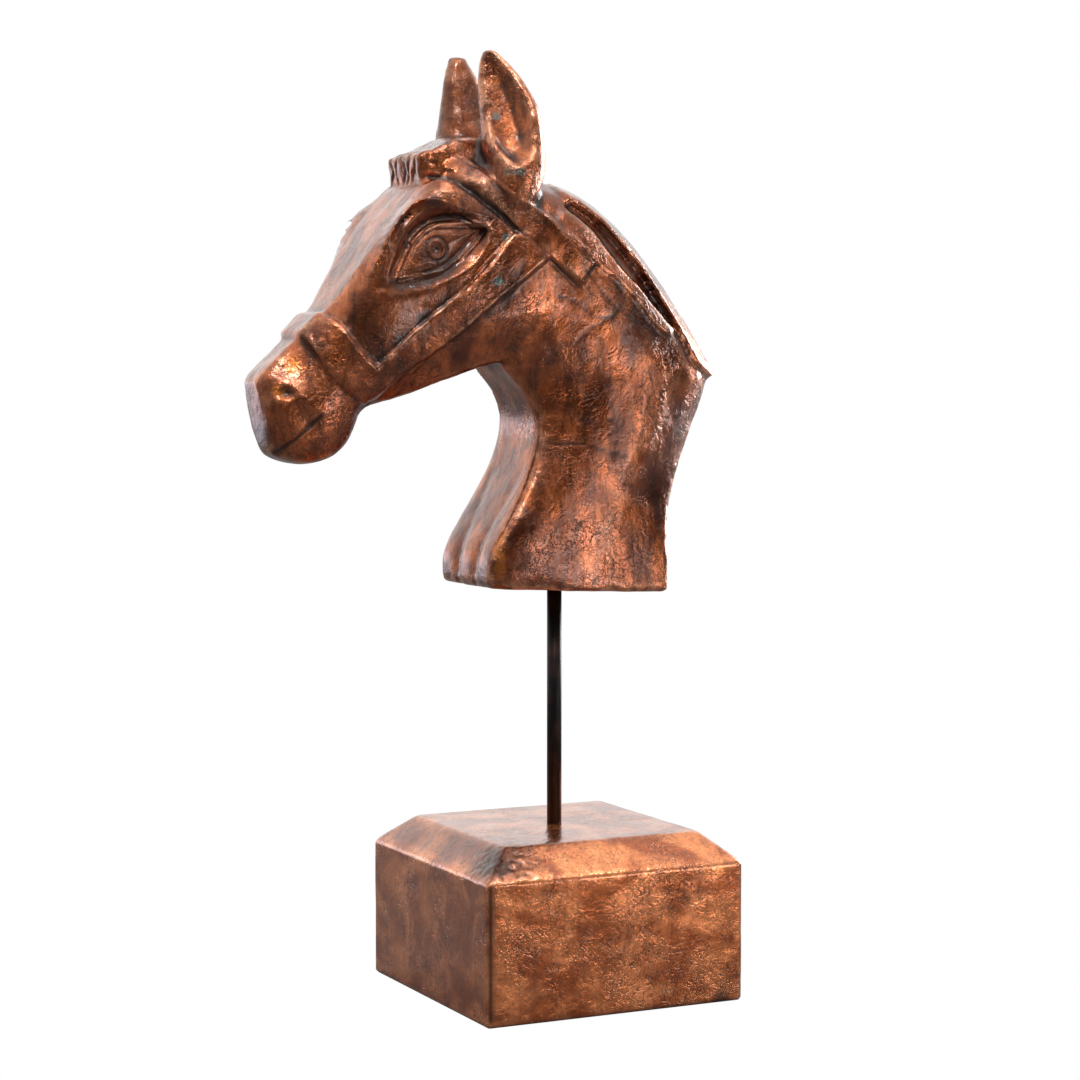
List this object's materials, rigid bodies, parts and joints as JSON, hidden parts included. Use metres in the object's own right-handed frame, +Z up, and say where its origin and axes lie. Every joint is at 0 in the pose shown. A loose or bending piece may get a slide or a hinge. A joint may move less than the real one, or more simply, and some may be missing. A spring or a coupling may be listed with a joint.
{
  "type": "horse head sculpture",
  "caption": "Carved horse head with a bridle, clad in copper sheet, held on a thin iron rod above a square block plinth with a sloping top edge.",
  "frame": {"origin": "middle of the plinth's underside, on the axis of the rod", "axes": "+Z up along the rod; the horse faces -X; Y = 0 is the middle plane of the head"},
  "size_m": [0.3207, 0.18, 0.602],
  "materials": {
    "plinth_copper": null,
    "rod_iron": "blackened iron",
    "head_copper": null
  },
  "bodies": {
    "root": {"plinth": "plinth_copper", "rod": "rod_iron", "horse_head": "head_copper"}
  },
  "joints": []
}
